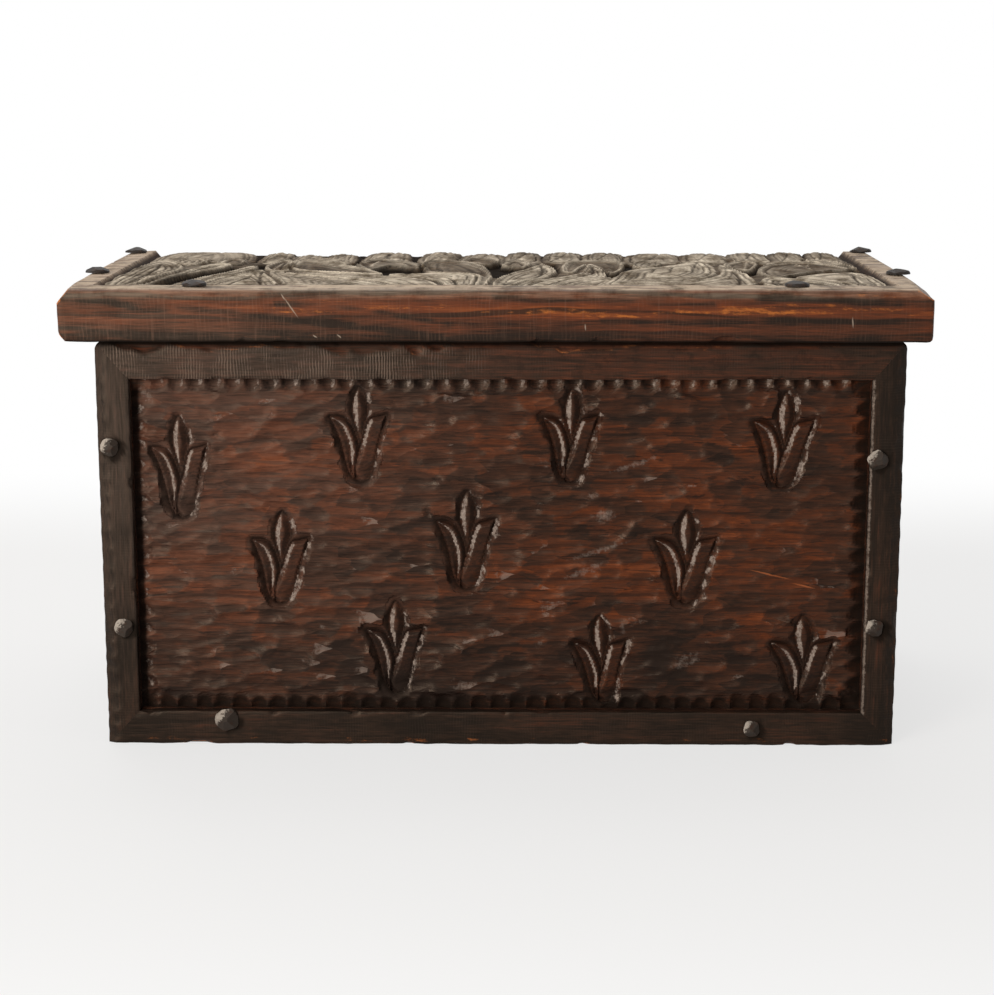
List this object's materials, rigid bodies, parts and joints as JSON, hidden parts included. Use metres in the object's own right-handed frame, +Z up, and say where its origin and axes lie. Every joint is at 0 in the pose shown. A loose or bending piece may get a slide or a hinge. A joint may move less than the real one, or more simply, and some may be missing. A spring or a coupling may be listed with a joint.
{
  "type": "coffer chest",
  "caption": "Small nailed wooden coffer chest with a carved lily front in a mitred frame and a thick foliage-carved plank lid that hinges up at the back.",
  "frame": {"origin": "middle of the footprint of the whole chest, hinges included, on the surface it stands on", "axes": "+X along the length towards the right end seen from the front, +Y from the carved front to the hinged back, +Z up"},
  "size_m": [0.531, 0.2681, 0.296],
  "materials": {
    "carved_front_wood": "dark red-brown stain, waxed, gouged",
    "frame_wood": "black-brown stain, waxed, worn to orange at its edges",
    "lid_wood": "red-brown stain worn to orange at its front, dusty on top",
    "board_wood": "dark red-brown stain outside, bare brown wood inside",
    "nail_iron": "hand-forged, dark brown-black",
    "hinge_iron": "forged plate, dark, slightly rusted"
  },
  "bodies": {
    "chest_body": {"front_board": "carved_front_wood", "back_board": "board_wood", "left_side_board": "board_wood", "right_side_board": "board_wood", "bottom_board": "board_wood", "frame_top_rail": "frame_wood", "frame_bottom_rail": "frame_wood", "frame_left_stile": "frame_wood", "frame_right_stile": "frame_wood", "left_hinge_body_leaf": "hinge_iron", "left_hinge_pin": "hinge_iron", "right_hinge_body_leaf": "hinge_iron", "right_hinge_pin": "hinge_iron", "left_stile_upper_nail": "nail_iron", "left_stile_lower_nail": "nail_iron", "right_stile_upper_nail": "nail_iron", "right_stile_lower_nail": "nail_iron", "bottom_rail_left_nail": "nail_iron", "bottom_rail_right_nail": "nail_iron", "back_left_upper_nail": "nail_iron", "back_left_lower_nail": "nail_iron", "back_right_upper_nail": "nail_iron", "back_right_lower_nail": "nail_iron", "back_bottom_left_nail": "nail_iron", "back_bottom_right_nail": "nail_iron", "left_side_front_nail": "nail_iron", "left_side_rear_nail": "nail_iron", "right_side_front_nail": "nail_iron", "right_side_rear_nail": "nail_iron", "left_hinge_body_left_nail": "nail_iron", "left_hinge_body_right_nail": "nail_iron", "right_hinge_body_left_nail": "nail_iron", "right_hinge_body_right_nail": "nail_iron"},
    "lid": {"lid_plank": "lid_wood", "left_hinge_lid_leaf": "hinge_iron", "right_hinge_lid_leaf": "hinge_iron", "lid_left_middle_nail": "nail_iron", "lid_left_back_nail": "nail_iron", "lid_right_middle_nail": "nail_iron", "lid_right_back_nail": "nail_iron", "lid_front_left_nail": "nail_iron", "lid_front_right_nail": "nail_iron", "left_hinge_lid_left_nail": "nail_iron", "left_hinge_lid_right_nail": "nail_iron", "right_hinge_lid_left_nail": "nail_iron", "right_hinge_lid_right_nail": "nail_iron"}
  },
  "joints": [
    {"name": "lid_hinge", "type": "hinge", "parent": "chest_body", "child": "lid", "pos_m": [0, 0.13015, 0.25915], "axis": [-1, 0, 0], "range_deg": [0, 100]}
  ]
}
